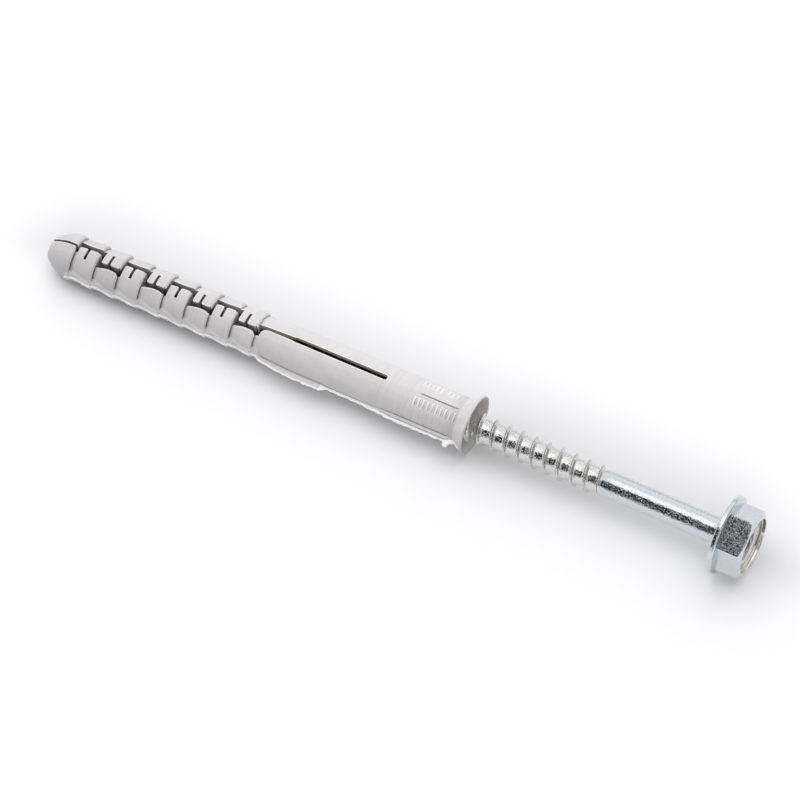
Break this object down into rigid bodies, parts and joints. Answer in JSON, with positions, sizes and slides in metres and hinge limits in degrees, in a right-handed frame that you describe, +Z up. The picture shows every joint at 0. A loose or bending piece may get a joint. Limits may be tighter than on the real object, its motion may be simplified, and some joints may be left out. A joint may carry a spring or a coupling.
{
  "type": "frame fixing",
  "caption": "Frame fixing: a slotted, barbed plastic sleeve with a flared collar and a hexagon flange screw pushed part way in.",
  "frame": {"origin": "middle of the foot of the bounding box, on the surface that the fixing lies on", "axes": "+Z up; +X along the fixing from the nose of the sleeve to the head of the screw; +Y to the back"},
  "size_m": [0.1641, 0.0172, 0.0172],
  "materials": {
    "nylon": "satin moulded",
    "zinc_steel": "bright zinc plated"
  },
  "bodies": {
    "root": {"sleeve": "nylon", "screw": "zinc_steel"}
  },
  "joints": []
}
